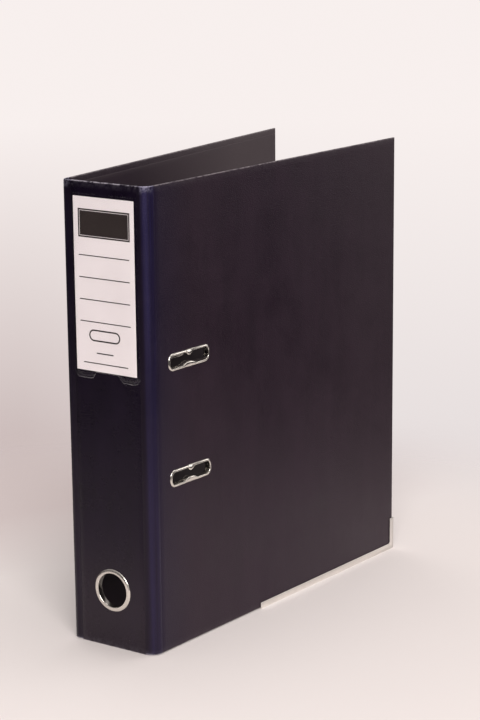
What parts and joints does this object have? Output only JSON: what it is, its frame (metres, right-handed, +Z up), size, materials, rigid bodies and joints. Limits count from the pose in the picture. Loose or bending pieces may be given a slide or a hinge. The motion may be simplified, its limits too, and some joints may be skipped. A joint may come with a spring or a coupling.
{
  "type": "lever arch file",
  "caption": "Free-standing lever arch file: hinged board covers, labelled spine with finger ring, rimmed cover slots, and a lever-worked arch mechanism with sliding compressor.",
  "frame": {"origin": "middle of the spine board's foot, where the standing file rests", "axes": "+Z up along the spine, -Y out of the spine's labelled face, +X towards the front cover"},
  "size_m": [0.1097, 0.29, 0.32],
  "materials": {
    "cover": "very dark purple-brown leather-grained covering on greyboard, soft sheen",
    "hinge": "bookcloth hinge band, dark blue-black with fine vertical streaks",
    "lining": "matt dark lining paper",
    "film": "clear glossy film",
    "card": "white printed card",
    "nickel": "bright nickel plate",
    "zinc": "satin zinc plate",
    "spring": "oiled spring steel"
  },
  "bodies": {
    "spine": {"spine_board": "cover", "spine_lining": "lining", "label_pocket": "film", "spine_label": "card", "finger_ring": "nickel", "finger_ring_backing": "nickel", "front_hinge_strip": "hinge", "rear_hinge_strip": "hinge"},
    "front_cover": {"front_board": "cover", "front_lining": "lining", "upper_slot_rim": "nickel", "upper_slot_backing": "nickel", "lower_slot_rim": "nickel", "lower_slot_backing": "nickel", "front_edge_shoe": "nickel"},
    "rear_cover": {"rear_board": "cover", "rear_lining": "lining", "rear_edge_shoe": "nickel", "base_plate": "nickel", "upper_post": "nickel", "lower_post": "nickel", "rivet_1": "nickel", "rivet_2": "nickel", "rivet_3": "nickel", "rivet_4": "nickel", "lever_pin": "zinc"},
    "arch": {"arch_wire": "nickel", "arch_spring": "spring"},
    "lever": {"lever": "nickel", "roller_pin": "zinc"},
    "roller": {"roller": "zinc"},
    "compressor": {"compressor_bar": "nickel"}
  },
  "joints": [
    {"name": "front_cover_hinge", "type": "hinge", "parent": "spine", "child": "front_cover", "pos_m": [0.03293, 0.00117, 0], "axis": [0, 0, -1], "range_deg": [-2.8, 175], "deforming": ["front_hinge_strip"]},
    {"name": "rear_cover_hinge", "type": "hinge", "parent": "spine", "child": "rear_cover", "pos_m": [-0.03394, 0.00015, 0], "axis": [0, 0, 1], "range_deg": [-4.8, 85.2], "deforming": ["rear_hinge_strip"]},
    {"name": "lever_pivot", "type": "hinge", "parent": "rear_cover", "child": "lever", "pos_m": [-0.01499, 0.03557, 0.16], "axis": [0, 0, 1], "range_deg": [0, 64]},
    {"name": "arch_pivot", "type": "hinge", "parent": "rear_cover", "child": "arch", "pos_m": [-0.03016, 0.025, 0.16], "axis": [0, 0, 1], "range_deg": [-32, 0], "deforming": ["arch_spring"]},
    {"name": "roller_spin", "type": "hinge", "parent": "lever", "child": "roller", "pos_m": [-0.02595, 0.03465, 0.16], "axis": [0, 0, 1], "continuous": true},
    {"name": "compressor_slide", "type": "slide", "parent": "rear_cover", "child": "compressor", "axis": [0.9965, 0.0837, 0], "range_m": [0, 0.034]}
  ],
  "couplings": [
    {"joint": "arch_pivot", "follows": "lever_pivot", "ratio": -0.5}
  ]
}
